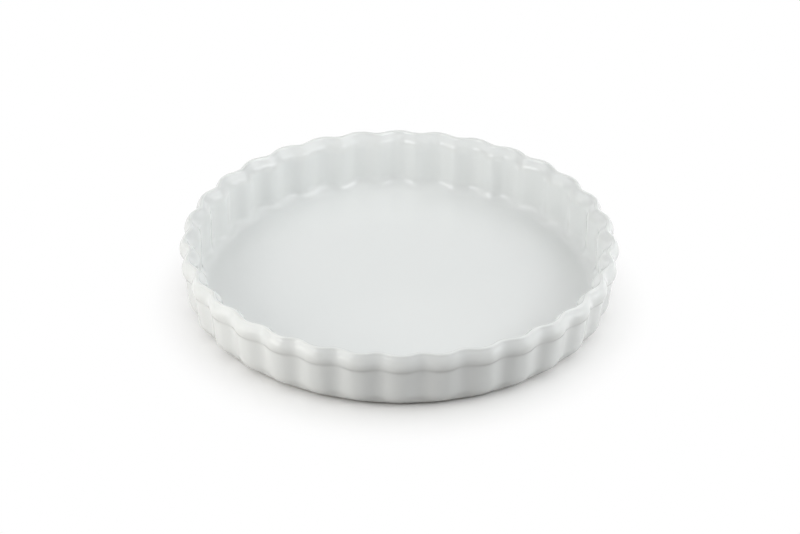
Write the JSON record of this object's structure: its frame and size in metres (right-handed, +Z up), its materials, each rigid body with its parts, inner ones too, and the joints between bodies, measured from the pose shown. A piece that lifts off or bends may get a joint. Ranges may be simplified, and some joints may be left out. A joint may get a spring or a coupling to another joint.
{
  "type": "fluted quiche dish",
  "caption": "Round shallow baking dish of white glazed stoneware with a fluted upright wall, a rolled collar at the rim, a flat floor and a low bare foot ring.",
  "frame": {"origin": "centre of the plane that the foot ring rests on", "axes": "+Z up through the open side; a lobe of the rim faces -Y, the side towards the camera in the picture"},
  "size_m": [0.28, 0.28, 0.042],
  "materials": {
    "glazed_stoneware": "glossy white opaque glaze, bare matt clay on the foot ring",
    "floor_glaze": "glossy white glaze, levelled in the firing",
    "underside_glaze": "glossy white glaze, thinner than inside"
  },
  "bodies": {
    "root": {"stoneware_body": "glazed_stoneware", "floor_glaze": "floor_glaze", "underside_glaze": "underside_glaze"}
  },
  "joints": []
}
